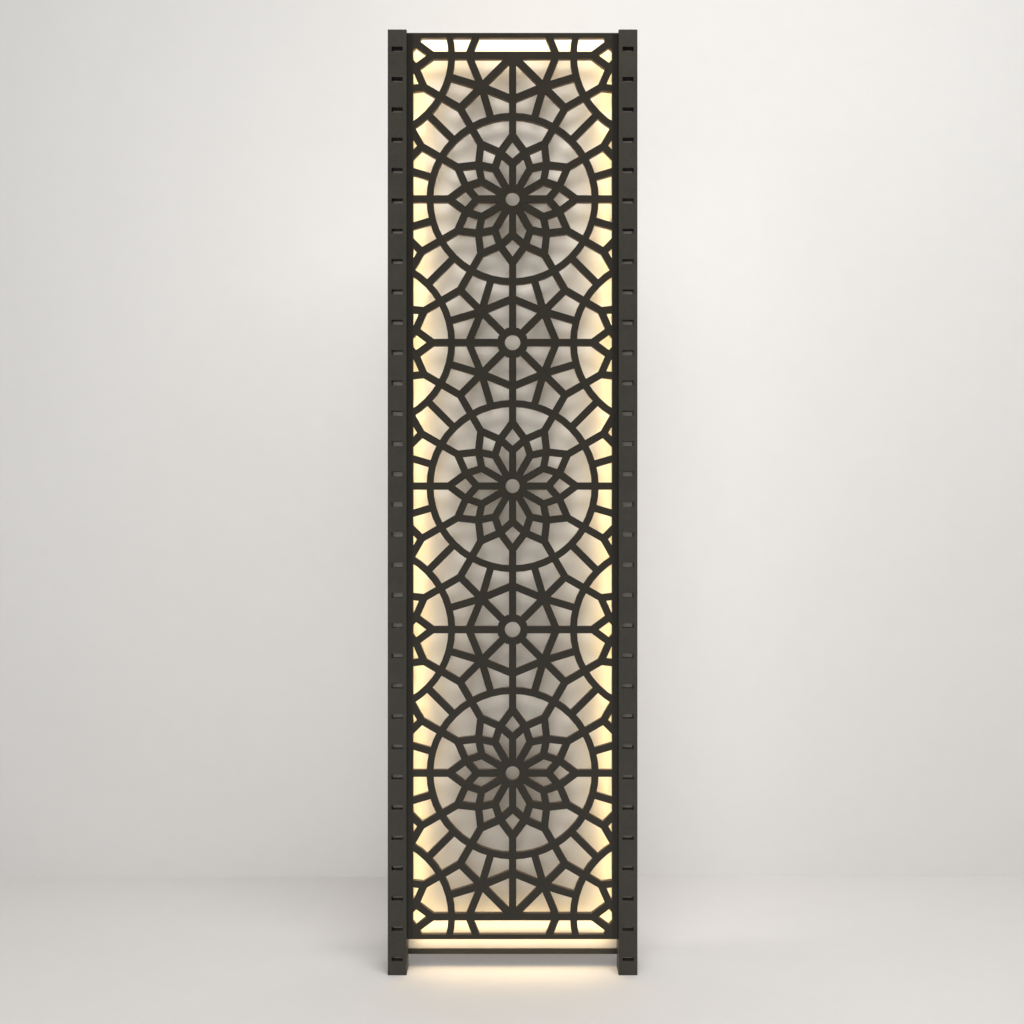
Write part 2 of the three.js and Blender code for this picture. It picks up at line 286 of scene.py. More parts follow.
class LightSettings(bpy.types.PropertyGroup):
    """The light strips and the light that they give."""

    lens_share: share("Lens", "Share of the strip's thickness that is the domed lens", 0.6)
    lens_colour: colour("Lens colour", "Opal sleeve", (0.90, 0.84, 0.70))
    glow_colour: colour("Glow", "Warm white light", (1.0, 0.73, 0.33))
    led_pitch: length("LED pitch", "Distance from LED to LED", 0.0167)
    strip_glow: amount("Strip glow", "Brightness of the sleeve", 1.0)
    side_power: amount("Side power", "Light of a side strip", 0.72, "POWER")
    end_power: amount("End power", "Light of an end strip", 0.22, "POWER")
    lean: amount("Lean", "How much a strip's light leans to the board", 0.45)
    halo_power: amount("Halo", "Light that leaves at the top", 0.10, "POWER")
    halo_spread: amount("Halo spread", "Angle of the light at the top", math.radians(70), "ROTATION")
    spill_power: amount("Spill", "Light on the floor", 0.17, "POWER")


class StageSettings(bpy.types.PropertyGroup):
    """The room, its light and the camera."""

    camera_distance: length("Camera distance", "From the posts' front to the camera", 2.670)
    camera_height: length("Camera height", "Height of the camera", 1.1755)
    camera_side: length("Camera side", "Sideways place of the camera", -0.0015)
    lens: amount("Lens", "Focal length", 37.0, "CAMERA")
    wall_distance: length("Wall distance", "From the posts' front to the wall", 0.72)
    room_size: length("Room size", "Width of the floor and the wall", 14.0)
    floor_colour: colour("Floor", "Pale floor", (0.72, 0.70, 0.68))
    wall_colour: colour("Wall", "Pale wall", (0.78, 0.77, 0.755))
    sky_colour: colour("Surround", "Light from all round", (0.80, 0.81, 0.82))
    sky_power: amount("Surround power", "Strength of the surround", 0.40)
    key_power: amount("Key power", "Large soft light", 160.0, "POWER")
    fill_power: amount("Fill power", "Soft light near the camera", 29.0, "POWER")
    wash_power: amount("Wash power", "Light on the wall", 3.6, "POWER")


class NodeKit:
    """Adds nodes to a tree and joins them, so that an effect reads as a short list."""

    def __init__(self, tree):
        self.tree = tree

    def add(self, kind, feeds=None, **settings):
        """Adds a node. feeds maps an input's name or number to a value or to another node's output."""
        node = self.tree.nodes.new(kind)
        for name, value in settings.items():
            setattr(node, name, value)
        for key, value in (feeds or {}).items():
            self.feed(node.inputs[key], value)
        return node

    def result(self, kind, feeds=None, **settings):
        """Adds a node and returns its first output."""
        return self.add(kind, feeds, **settings).outputs[0]

    def feed(self, socket, value):
        """Joins an output to a socket, or sets the socket's own value."""
        if isinstance(value, bpy.types.NodeSocket):
            self.tree.links.new(value, socket)
        else:
            socket.default_value = value

    def number(self, operation, first, second=0.0, clamp=False):
        """The result of one sum on two numbers."""
        feeds = {0: first, 1: second}
        return self.result("ShaderNodeMath", feeds, operation=operation, use_clamp=clamp)

    def vector(self, operation, first, second):
        """The result of one sum on two vectors."""
        return self.result("ShaderNodeVectorMath", {0: first, 1: second}, operation=operation)

    def corner(self, x, y, z):
        """A vector from three numbers or outputs."""
        return self.result("ShaderNodeCombineXYZ", {"X": x, "Y": y, "Z": z})

    def remap(self, value, low, high, to_low=0.0, to_high=1.0):
        """Moves a value from one range to another and holds it inside."""
        feeds = {"Value": value, "From Min": low, "From Max": high, "To Min": to_low, "To Max": to_high}
        return self.result("ShaderNodeMapRange", feeds, clamp=True)

    def blend(self, amount, first, second):
        """Mixes two colours."""
        node = self.add("ShaderNodeMix", data_type="RGBA")
        self.feed(node.inputs["Factor"], amount)
        self.feed(node.inputs[6], first)
        self.feed(node.inputs[7], second)
        return node.outputs[2]

    def split(self, vector):
        """The three numbers of a vector, as outputs X, Y and Z."""
        return self.add("ShaderNodeSeparateXYZ", {"Vector": vector}).outputs

    def product(self, *factors):
        """The product of two or more numbers."""
        result = factors[0]
        for factor in factors[1:]:
            result = self.number("MULTIPLY", result, factor)
        return result

    def noise(self, place, scale, detail, roughness=0.5):
        """A noise value between 0 and 1."""
        feeds = {"Vector": place, "Scale": scale, "Detail": detail, "Roughness": roughness}
        return self.result("ShaderNodeTexNoise", feeds)


def opaque(rgb, factor=1.0):
    """A colour with its alpha, made darker or lighter by a factor."""
    return (*(min(channel * factor, 1.0) for channel in rgb), 1.0)


# Mesh helpers


def link(thing):
    """Puts an object into the scene."""
    bpy.context.scene.collection.objects.link(thing)
    return thing


def tidy_mesh(mesh):
    """Welds a closed mesh, turns its faces outwards and smooths all but its sharp edges."""
    work = bmesh.new()
    work.from_mesh(mesh)
    bmesh.ops.remove_doubles(work, verts=work.verts, dist=WELD)
    bmesh.ops.dissolve_degenerate(work, edges=work.edges, dist=WELD)
    bmesh.ops.recalc_face_normals(work, faces=work.faces)
    work.to_mesh(mesh)
    work.free()
    mesh.polygons.foreach_set("use_smooth", [True] * len(mesh.polygons))
    mesh.set_sharp_from_angle(angle=SMOOTH_BELOW)
    mesh.update()


def apply_modifiers(thing):
    """Replaces an object's mesh by what its modifiers make of it, and removes them."""
    bpy.context.view_layer.update()
    evaluated = thing.evaluated_get(bpy.context.evaluated_depsgraph_get())
    mesh = bpy.data.meshes.new_from_object(evaluated)
    thing.modifiers.clear()
    thing.data = mesh
    mesh.name = thing.name


def ease_edges(thing, width, segments=2):
    """Rounds the sharp edges of a piece and keeps its flat faces flat in the shading."""
    bevel = thing.modifiers.new("Edges", "BEVEL")
    bevel.width = width
    bevel.segments = segments
    bevel.limit_method = "ANGLE"
    bevel.angle_limit = SMOOTH_BELOW
    bevel.use_clamp_overlap = True
    apply_modifiers(thing)
    tidy_mesh(thing.data)
    weight_normals(thing)


def weight_normals(thing):
    """Lets the large flat faces rule the shading of the rounded edges beside them."""
    weighted = thing.modifiers.new("Flat faces", "WEIGHTED_NORMAL")
    weighted.keep_sharp = True
    apply_modifiers(thing)


def solid_copy(name, node):
    """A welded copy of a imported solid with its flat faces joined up."""
    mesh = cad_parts[node].data.copy()
    mesh.materials.clear()
    work = bmesh.new()
    work.from_mesh(mesh)
    bmesh.ops.remove_doubles(work, verts=work.verts, dist=WELD)
    bmesh.ops.dissolve_limit(work, angle_limit=STRAIGHT, verts=work.verts, edges=work.edges)
    work.to_mesh(mesh)
    work.free()
    return link(bpy.data.objects.new(name, mesh))


def front_outlines(node):
    """The closed outlines of a sheet's front face as x and z, each with the material on its left."""
    work = bmesh.new()
    work.from_mesh(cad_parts[node].data)
    bmesh.ops.remove_doubles(work, verts=work.verts, dist=WELD)
    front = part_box(node)[0].y
    flat = {face for face in work.faces if all(abs(v.co.y - front) < SAME_PLANE for v in face.verts)}
    following = {}
    for face in flat:
        for corner in face.loops:
            if corner.link_loop_radial_next.face not in flat:
                following[corner.vert] = corner.link_loop_next.vert
    outlines = []
    while following:
        start, here = following.popitem()
        outline = [start.co.copy()]
        while here is not start:
            outline.append(here.co.copy())
            here = following.pop(here)
        outlines.append([Vector((point.x, point.z, 0.0)) for point in outline])
    work.free()
    return outlines


def straightened(outline):
    """An outline without the points that lie on a straight run."""
    kept = []
    for i, point in enumerate(outline):
        before = point - outline[i - 1]
        after = outline[(i + 1) % len(outline)] - point
        if before.length > WELD and after.length > WELD and before.angle(after) > STRAIGHT:
            kept.append(point)
    return kept


def without_nicks(outline, shortest):
    """An outline whose very short edges are closed up where the edges beside them meet."""
    points = list(outline)
    i = 0
    while i < len(points) and len(points) > 4:
        start, end = points[i - 1], points[i]
        if (end - start).length > shortest:
            i += 1
            continue
        middle = (start + end) / 2
        met = intersect_line_line(points[i - 2], start, end, points[(i + 1) % len(points)])
        is_near = met is not None and (met[0] - middle).length < shortest
        points[i] = met[0] if is_near else middle
        del points[i - 1]
        i = max(i - 2, 0)
    return straightened(points)


def softened(outline, radius):
    """An outline whose sharp corners are rounded. A slight bend keeps its single point."""
    soft = []
    for i, point in enumerate(outline):
        before = point - outline[i - 1]
        after = outline[(i + 1) % len(outline)] - point
        turn = before.angle(after)
        if turn < SLIGHT_BEND:
            soft.append(point)
            continue
        reach = min(radius * math.tan(turn / 2), CORNER_REACH * min(before.length, after.length))
        side = 1.0 if before.cross(after).z > 0 else -1.0
        start = point - before.normalized() * reach
        spoke = Vector((before.y, -before.x, 0.0)).normalized() * side * reach / math.tan(turn / 2)
        steps = math.ceil(turn / CORNER_STEP)
        for step in range(steps + 1):
            turned = spoke.copy()
            turned.rotate(Matrix.Rotation(side * turn * step / steps, 3, "Z"))
            soft.append(start - spoke + turned)
    return soft


def outline_curve(name, outlines):
    """A flat curve object with one closed spline for each outline."""
    curve = bpy.data.curves.new(name, "CURVE")
    curve.dimensions = "3D"
    for outline in outlines:
        spline = curve.splines.new("POLY")
        spline.points.add(len(outline) - 1)
        for point, place in zip(spline.points, outline):
            point.co = (place.x, place.y, 0.0, 1.0)
        spline.use_cyclic_u = True
    return link(bpy.data.objects.new(name, curve))


# Geometry Nodes helpers


def new_tree(name, sockets):
    """A geometry tree with named inputs. sockets maps each input's name to its socket type."""
    tree = bpy.data.node_groups.new(name, "GeometryNodeTree")
    tree.is_modifier = True
    for label, kind in sockets.items():
        tree.interface.new_socket(label, in_out="INPUT", socket_type=kind)
    tree.interface.new_socket("Finish", in_out="INPUT", socket_type="NodeSocketMaterial")
    tree.interface.new_socket("Geometry", in_out="OUTPUT", socket_type="NodeSocketGeometry")
    kit = NodeKit(tree)
    given = kit.add("NodeGroupInput").outputs
    return tree, kit, given


def close_tree(kit, given, geometry):
    """Ends a tree: everything is made real and gets the finish."""
    real = kit.result("GeometryNodeRealizeInstances", {"Geometry": geometry})
    finished = kit.result("GeometryNodeSetMaterial", {"Geometry": real, "Material": given["Finish"]})
    kit.add("NodeGroupOutput", {"Geometry": finished})


def grow(name, tree, values):
    """Runs a tree with the values given and returns its result as a plain mesh object."""
    host = link(bpy.data.objects.new(name, bpy.data.meshes.new(name)))
    modifier = host.modifiers.new(tree.name, "NODES")
    modifier.node_group = tree
    for item in tree.interface.items_tree:
        if item.in_out == "INPUT":
            modifier[item.identifier] = values[item.name]
    apply_modifiers(host)
    if not host.data.polygons:
        raise RuntimeError(f"{name} came out empty")
    return host


def joined(kit, *parts):
    """Several geometries as one."""
    join = kit.add("GeometryNodeJoinGeometry")
    for part in parts:
        kit.feed(join.inputs[0], part)
    return join.outputs[0]


def moved(kit, geometry, offset):
    """A geometry moved by an offset."""
    return kit.result("GeometryNodeTransform", {"Geometry": geometry, "Translation": offset})


def block_between(kit, low, high):
    """A box between two corners, whose numbers may be outputs."""
    near = kit.corner(*low)
    far = kit.corner(*high)
    size = kit.vector("SUBTRACT", far, near)
    both = kit.vector("ADD", far, near)
    middle = kit.vector("MULTIPLY", both, (0.5, 0.5, 0.5))
    cube = kit.add("GeometryNodeMeshCube", {"Size": size}).outputs["Mesh"]
    return moved(kit, cube, middle)


def arris_profile(kit, thickness, arris, steps):
    """The section of a cut wall: a quarter round, the wall and a quarter round again."""
    last = 2 * steps + 1
    index = kit.result("GeometryNodeInputIndex")
    mirrored = kit.number("SUBTRACT", float(last), index)
    nearest = kit.number("MINIMUM", index, mirrored)
    angle = kit.product(nearest, math.pi / 2 / steps)
    into = kit.product(arris, kit.number("SUBTRACT", 1.0, kit.number("SINE", angle)))
    below = kit.product(arris, kit.number("SUBTRACT", 1.0, kit.number("COSINE", angle)))
    is_front = kit.number("LESS_THAN", index, steps + 0.5)
    front_level = kit.number("SUBTRACT", thickness, below)
    climb = kit.product(is_front, kit.number("SUBTRACT", front_level, below))
    level = kit.number("ADD", below, climb)
    place = kit.corner(kit.product(into, -1.0), kit.product(level, -1.0), 0.0)
    points = kit.result("GeometryNodePoints", {"Count": last + 1, "Position": place})
    return kit.result("GeometryNodePointsToCurves", {"Points": points})


def cut_sheet_tree():
    """Fills the sheet between its outlines and sweeps a softened wall along each of them."""
    metres = "NodeSocketFloat"
    tree, kit, given = new_tree("Cut sheet", {
        "Outlines": "NodeSocketObject",
        "Thickness": metres,
        "Arris": metres,
        "Back": metres,
    })
    source = kit.add("GeometryNodeObjectInfo", {"Object": given["Outlines"]}).outputs["Geometry"]
    profile = arris_profile(kit, given["Thickness"], given["Arris"], ARRIS_STEPS)
    walls = kit.result("GeometryNodeCurveToMesh", {"Curve": source, "Profile Curve": profile})
    inward = kit.result("ShaderNodeVectorMath", {
        0: kit.result("GeometryNodeInputNormal"),
        "Scale": kit.product(given["Arris"], -1.0),
    }, operation="SCALE")
    edge = kit.result("GeometryNodeSetPosition", {"Geometry": source, "Offset": inward})
    back = kit.result("GeometryNodeFillCurve", {"Curve": edge}, mode="TRIANGLES")
    front = moved(kit, back, kit.corner(0.0, 0.0, given["Thickness"]))
    upright = kit.result("GeometryNodeTransform", {
        "Geometry": joined(kit, walls, back, front),
        "Translation": kit.corner(0.0, given["Back"], 0.0),
        "Rotation": (math.pi / 2, 0.0, 0.0),
    })
    close_tree(kit, given, upright)
    return tree


def slotted_post_tree():
    """Mills the groove, the rebate and the row of slots out of a bar with eased long edges."""
    metres = "NodeSocketFloat"
    labels = ("Inner", "Outer", "Front", "Back", "Height", "Arris", "Groove Foot", "Groove Reach")
    labels += ("Groove Front", "Groove Back", "Rebate Reach", "Shoulder")
    labels += ("Slot Width", "Slot Height", "Slot Depth", "Slot Pitch", "Slot Margin")
    sockets = {label: metres for label in labels}
    sockets["Slot Count"] = "NodeSocketInt"
    sockets["Side"] = metres
    sockets["Overcut"] = metres
    tree, kit, given = new_tree("Slotted post", sockets)
    width = kit.number("SUBTRACT", given["Outer"], given["Inner"])
    depth = kit.number("SUBTRACT", given["Back"], given["Front"])
    middle_x = kit.product(kit.number("ADD", given["Outer"], given["Inner"]), 0.5)
    middle_y = kit.product(kit.number("ADD", given["Back"], given["Front"]), 0.5)
    outline = kit.result("GeometryNodeCurvePrimitiveQuadrilateral", {0: width, 1: depth})
    feeds = {"Curve": outline, "Radius": given["Arris"], "Limit Radius": True, "Count": POST_ARRIS_STEPS}
    section = kit.result("GeometryNodeFilletCurve", feeds, mode="POLY")
    face = kit.result("GeometryNodeFillCurve", {"Curve": section}, mode="NGONS")
    face = moved(kit, face, kit.corner(middle_x, middle_y, 0.0))
    raised = kit.result("GeometryNodeExtrudeMesh", {
        "Mesh": face,
        "Offset": kit.corner(0.0, 0.0, 1.0),
        "Offset Scale": given["Height"],
    }, mode="FACES")
    under = kit.result("GeometryNodeFlipFaces", {"Mesh": face})
    feeds = {"Geometry": joined(kit, raised, under), "Distance": WELD}
    welded = kit.result("GeometryNodeMergeByDistance", feeds)
    past = given["Overcut"]
    beside = kit.number("SUBTRACT", given["Inner"], past)
    above = kit.number("ADD", given["Height"], past)
    below = kit.product(past, -1.0)
    behind = kit.number("ADD", given["Back"], past)
    groove = block_between(
        kit,
        (beside, given["Groove Front"], given["Groove Foot"]),
        (given["Groove Reach"], given["Groove Back"], above),
    )
    rebate = block_between(
        kit,
        (beside, given["Shoulder"], below),
        (given["Rebate Reach"], behind, above),
    )
    slot_size = kit.corner(
        given["Slot Width"],
        kit.product(given["Slot Depth"], 2.0),
        given["Slot Height"],
    )
    slot = kit.add("GeometryNodeMeshCube", {"Size": slot_size}).outputs["Mesh"]
    row = kit.result("GeometryNodeMeshLine", {
        "Count": given["Slot Count"],
        "Start Location": kit.corner(middle_x, given["Front"], given["Slot Margin"]),
        "Offset": kit.corner(0.0, 0.0, given["Slot Pitch"]),
    })
    slots = kit.result("GeometryNodeInstanceOnPoints", {"Points": row, "Instance": slot})
    slots = kit.result("GeometryNodeRealizeInstances", {"Geometry": slots})
    feeds = {"Mesh 1": welded}
    milled = kit.add("GeometryNodeMeshBoolean", feeds, operation="DIFFERENCE", solver="EXACT")
    for cutter in (groove, rebate, slots):
        kit.feed(milled.inputs["Mesh 2"], cutter)
    mirrored = kit.result("GeometryNodeTransform", {
        "Geometry": milled.outputs[0],
        "Scale": kit.corner(given["Side"], 1.0, 1.0),
    })
    close_tree(kit, given, mirrored)
    return tree


def light_sleeve_tree():
    """Sweeps a channel with a domed lens along a strip."""
    metres = "NodeSocketFloat"
    tree, kit, given = new_tree("Light sleeve", {
        "Start": "NodeSocketVector",
        "End": "NodeSocketVector",
        "Width": metres,
        "Channel": metres,
        "Dome": metres,
    })
    index = kit.result("GeometryNodeInputIndex")
    turn = kit.product(index, math.pi / DOME_STEPS)
    half = kit.product(given["Width"], 0.5)
    across = kit.product(kit.number("COSINE", turn), half)
    rise = kit.number("ADD", given["Channel"], kit.product(kit.number("SINE", turn), given["Dome"]))
    dome_place = kit.corner(across, rise, 0.0)
    is_first_foot = kit.number("COMPARE", index, float(DOME_STEPS + 1))
    is_foot = kit.number("GREATER_THAN", index, DOME_STEPS + 0.5)
    foot_side = kit.number("SUBTRACT", 1.0, kit.product(is_first_foot, 2.0))
    foot_place = kit.corner(kit.product(half, foot_side), 0.0, 0.0)
    place = kit.result("GeometryNodeSwitch", {
        "Switch": is_foot,
        "False": dome_place,
        "True": foot_place,
    }, input_type="VECTOR")
    points = kit.result("GeometryNodePoints", {"Count": DOME_STEPS + 3, "Position": place})
    profile = kit.result("GeometryNodePointsToCurves", {"Points": points})
    profile = kit.result("GeometryNodeSetSplineCyclic", {"Geometry": profile, "Cyclic": True})
    feeds = {"Start": given["Start"], "End": given["End"]}
    line = kit.result("GeometryNodeCurvePrimitiveLine", feeds)
    feeds = {"Curve": line, "Profile Curve": profile, "Fill Caps": True}
    sleeve = kit.result("GeometryNodeCurveToMesh", feeds)
    close_tree(kit, given, sleeve)
    return tree


def screw_row_tree():
    """Sets one screw on each point of two rows up the board's sides."""
    metres = "NodeSocketFloat"
    tree, kit, given = new_tree("Screw rows", {
        "Screw": "NodeSocketObject",
        "Across": metres,
        "Face": metres,
        "Foot": metres,
        "Pitch": metres,
        "Count": "NodeSocketInt",
    })
    screw = kit.add("GeometryNodeObjectInfo", {"Object": given["Screw"]}).outputs["Geometry"]
    rows = []
    for side in (-1.0, 1.0):
        rows.append(kit.result("GeometryNodeMeshLine", {
            "Count": given["Count"],
            "Start Location": kit.corner(kit.product(given["Across"], side), given["Face"], given["Foot"]),
            "Offset": kit.corner(0.0, 0.0, given["Pitch"]),
        }))
    turn = kit.add("FunctionNodeRandomValue", {"Seed": SCREW_SEED}, data_type="FLOAT").outputs["Value"]
    rotation = kit.corner(0.0, kit.product(turn, math.pi / 2), 0.0)
    feeds = {"Points": joined(kit, *rows), "Instance": screw, "Rotation": rotation}
    close_tree(kit, given, kit.result("GeometryNodeInstanceOnPoints", feeds))
    return tree


# Shader groups


def new_shader_group(name, given, made):
    """A shader group with named inputs and outputs, each given as a name and its socket type."""
    group = bpy.data.node_groups.new(name, "ShaderNodeTree")
    for label, kind in given.items():
        group.interface.new_socket(label, in_out="INPUT", socket_type=kind)
    for label, kind in made.items():
        group.interface.new_socket(label, in_out="OUTPUT", socket_type=kind)
    kit = NodeKit(group)
    return group, kit, kit.add("NodeGroupInput").outputs


def grain_group():
    """Fine grain: a slow and a cloudy change of shade, and a small even height."""
    number = "NodeSocketFloat"
    group, kit, given = new_shader_group(
        "Fine grain",
        {"Size": number, "Stretch": "NodeSocketVector"},
        {"Shade": number, "Height": number},
    )
    place = kit.add("ShaderNodeTexCoord").outputs["Object"]
    place = kit.vector("MULTIPLY", place, given["Stretch"])
    scale = kit.number("DIVIDE", 1.0, given["Size"])
    layers = [
        kit.noise(place, kit.product(scale, relative), detail, roughness)
        for relative, detail, roughness in (SLOW_GRAIN, CLOUDY_GRAIN)
    ]
    fine = kit.noise(place, scale, FINE_DETAIL)
    both = kit.product(kit.number("ADD", *layers), 0.5)
    shade = kit.remap(both, *GRAIN_CONTRAST)
    kit.add("NodeGroupOutput", {"Shade": shade, "Height": fine})
    return group


def wear_group():
    """Rubbed edges: strongest on the arrises, broken up by patches."""
    number = "NodeSocketFloat"
    wanted = {"Width": number, "Amount": number}
    group, kit, given = new_shader_group("Edge wear", wanted, {"Mask": number})
    rounded = kit.result("ShaderNodeBevel", {"Radius": given["Width"]}, samples=BEVEL_SAMPLES)
    own = kit.add("ShaderNodeNewGeometry").outputs["Normal"]
    feeds = {0: rounded, 1: own}
    closeness = kit.add("ShaderNodeVectorMath", feeds, operation="DOT_PRODUCT").outputs["Value"]
    edge = kit.remap(closeness, *WEAR_EDGE)
    place = kit.add("ShaderNodeTexCoord").outputs["Object"]
    patches = kit.remap(kit.noise(place, *WEAR_NOISE), *WEAR_PATCHES)
    mask = kit.number("MULTIPLY", kit.product(edge, patches), given["Amount"], clamp=True)
    kit.add("NodeGroupOutput", {"Mask": mask})
    return group


def dust_group():
    """Dust that has settled on what faces up."""
    number = "NodeSocketFloat"
    group, kit, given = new_shader_group("Settled dust", {"Amount": number}, {"Mask": number})
    coordinates = kit.add("ShaderNodeTexCoord").outputs
    level = kit.remap(kit.split(coordinates["Normal"])["Z"], *DUST_LEVEL)
    specks = kit.remap(kit.noise(coordinates["Object"], *DUST_NOISE), *DUST_SPECKS)
    mask = kit.number("MULTIPLY", kit.product(level, specks), given["Amount"], clamp=True)
    kit.add("NodeGroupOutput", {"Mask": mask})
    return group


def flat_face_group():
    """Masks for the walls, which face neither front nor back, and for what faces the back."""
    number = "NodeSocketFloat"
    group, kit, given = new_shader_group("Facing", {}, {"Wall": number, "Rear": number})
    depthwise = kit.split(kit.add("ShaderNodeTexCoord").outputs["Normal"])["Y"]
    wall = kit.remap(kit.number("ABSOLUTE", depthwise), *WALL_FACING)
    rear = kit.remap(depthwise, *REAR_FACING)
    kit.add("NodeGroupOutput", {"Wall": wall, "Rear": rear})
    return group


def shader_groups():
    """The shader groups that the materials share, each built once."""
    makers = {"Fine grain": grain_group, "Edge wear": wear_group}
    makers.update({"Settled dust": dust_group, "Facing": flat_face_group})
    return {name: bpy.data.node_groups.get(name) or make() for name, make in makers.items()}


def place_group(kit, name, feeds=None):
    """Puts a shared shader group into a material."""
    node = kit.add("ShaderNodeGroup", node_tree=shader_groups()[name])
    for label, value in (feeds or {}).items():
        kit.feed(node.inputs[label], value)
    return node.outputs


def place_grain(kit, size, stretch=EVEN):
    """Puts the fine grain into a material."""
    return place_group(kit, "Fine grain", {"Size": size, "Stretch": stretch})


def new_material(name):
    """An empty material with its shader, ready for its nodes."""
    material = bpy.data.materials.new(name)
    material.use_nodes = True
    material.node_tree.nodes.clear()
    kit = NodeKit(material.node_tree)
    shader = kit.add("ShaderNodeBsdfPrincipled")
    kit.add("ShaderNodeOutputMaterial", {"Surface": shader.outputs[0]})
    return material, kit, shader.inputs


def add_bump(kit, sockets, height, distance):
    """Gives a shader a relief."""
    feeds = {"Height": height, "Distance": distance, "Strength": 1.0}
    kit.feed(sockets["Normal"], kit.result("ShaderNodeBump", feeds))


def shaded(kit, mask, rgb, shades):
    """A colour that goes from its darkest to its lightest shade with a mask."""
    darkest, lightest = shades
    return kit.blend(mask, opaque(rgb, darkest), opaque(rgb, lightest))


def add_gloss(kit, sockets, mask, gloss):
    """Gives a shader a roughness that goes from one value to another with a mask."""
    kit.feed(sockets["Roughness"], kit.remap(mask, 0.0, 1.0, *gloss))


def within(kit, value, low, high):
    """1 where a value lies between two limits, and 0 elsewhere."""
    off = kit.number("ABSOLUTE", kit.number("SUBTRACT", value, (low + high) / 2))
    return kit.number("LESS_THAN", off, (high - low) / 2)


def slot_painted_shade_and_light(kit, shade, post):
    """Paints shade on the walls of a post's slots, where little light reaches, and paints light on their
    end walls.
    """
    coordinates = kit.add("ShaderNodeTexCoord").outputs
    place = kit.split(coordinates["Object"])
    facing = kit.split(coordinates["Normal"])
    middle = (POST_LOW.x + POST_HIGH.x) / 2
    reach = post.slot_width / 2 + SLOT_SKIN
    end = POST_LOW.y + post.slot_depth
    across = within(kit, kit.number("ABSOLUTE", place["X"]), middle - reach, middle + reach)
    deep = within(kit, place["Y"], POST_LOW.y + SLOT_SKIN, end + SLOT_SKIN)
    along = within(kit, place["Z"], POST_LOW.z + SLOT_SKIN, POST_HIGH.z - SLOT_SKIN)
    # Painted shade on the slots' walls
    dark = kit.blend(kit.product(across, deep, along), shade, opaque(post.slot_shadow_colour))
    # Painted light on the slots' end walls, which face the front
    at_end = within(kit, place["Y"], end - SLOT_SKIN, end + SLOT_SKIN)
    square = kit.number("LESS_THAN", facing["Y"], FRONT_FACING)
    return kit.blend(kit.product(at_end, square), dark, opaque(post.pocket_painted_light_colour))


def paint_material(name, base, wear, dust, cut_share=0.0, slotted=None, painted_shade_from=None):
    """Satin dark bronze paint with an orange peel, rubbed edges and a little dust. It may also carry
    painted shade on the border beside the posts and in the slots, and painted light on the slots' end
    walls.
    """
    paint = bpy.context.scene.fretwork_paint
    material, kit, sockets = new_material(name)
    grain = place_grain(kit, paint.grain_size)
    rubbed = place_group(kit, "Edge wear", {"Width": PAINT_WEAR_WIDTH, "Amount": wear})["Mask"]
    settled = place_group(kit, "Settled dust", {"Amount": dust})["Mask"]
    shade = shaded(kit, grain["Shade"], base, PAINT_SHADES)
    # Painted shade: the sheet's border beside the posts is darkened towards black, standing for the shadow
    # that falls there
    if painted_shade_from:
        place = kit.split(kit.add("ShaderNodeTexCoord").outputs["Object"])
        aside = kit.number("ABSOLUTE", place["X"])
        border = kit.remap(aside, painted_shade_from, painted_shade_from + paint.border_shadow_fade, 0.0, paint.border_painted_shade)
        shade = kit.blend(border, shade, opaque(SHADOW_BLACK))
    if cut_share:
        walls = kit.product(place_group(kit, "Facing")["Wall"], cut_share)
        shade = kit.blend(walls, shade, opaque(paint.cut_colour))
    # Painted shade in the slots and painted light on their end walls
    if slotted:
        shade = slot_painted_shade_and_light(kit, shade, slotted)
    shade = kit.blend(rubbed, shade, opaque(paint.worn_colour))
    shade = kit.blend(settled, shade, opaque(paint.dust_colour))
    kit.feed(sockets["Base Color"], shade)
    gloss = kit.remap(grain["Shade"], 0.0, 1.0, *(paint.roughness + change for change in PAINT_GLOSS))
    dusty = kit.product(settled, DUST_ROUGHNESS)
    kit.feed(sockets["Roughness"], kit.number("ADD", gloss, dusty, clamp=True))
    sockets["Specular IOR Level"].default_value = PAINT_SHINE
    add_bump(kit, sockets, grain["Height"], paint.grain_depth)
    return material


def board_material():
    """Matt off-white paint in front and bare fibreboard behind."""
    settings = bpy.context.scene.fretwork_board
    material, kit, sockets = new_material("board_white")
    grain = place_grain(kit, BOARD_GRAIN)
    fibres = place_grain(kit, FIBRE_GRAIN, FIBRES_UPRIGHT)
    front = shaded(kit, grain["Shade"], settings.front_colour, BOARD_SHADES)
    raw = shaded(kit, fibres["Height"], settings.raw_colour, RAW_SHADES)
    rear = place_group(kit, "Facing")["Rear"]
    kit.feed(sockets["Base Color"], kit.blend(rear, front, raw))
    add_gloss(kit, sockets, rear, BOARD_GLOSS)
    sockets["Specular IOR Level"].default_value = BOARD_SHINE
    add_bump(kit, sockets, fibres["Height"], BOARD_RELIEF)
    return material


def lens_material():
    """Opal sleeve over warm LEDs, brighter over each of them."""
    settings = bpy.context.scene.fretwork_lights
    material, kit, sockets = new_material("light_lens")
    place = kit.split(kit.add("ShaderNodeTexCoord").outputs["Object"])
    along = kit.number("ADD", place["X"], place["Z"])
    distance = kit.number("PINGPONG", along, settings.led_pitch / 2)
    spot = kit.number("POWER", kit.remap(distance, settings.led_pitch / 2, 0.0), LED_FALLOFF)
    grain = place_grain(kit, LENS_GRAIN)
    kit.feed(sockets["Emission Color"], shaded(kit, spot, settings.glow_colour, (LENS_DIM, 1.0)))
    opal = kit.blend(grain["Shade"], opaque(settings.lens_colour), opaque(PALE_LENS))
    kit.feed(sockets["Base Color"], opal)
    add_gloss(kit, sockets, grain["Shade"], LENS_GLOSS)
    sockets["Emission Strength"].default_value = settings.strip_glow
    add_bump(kit, sockets, grain["Height"], LENS_RELIEF)
    return material


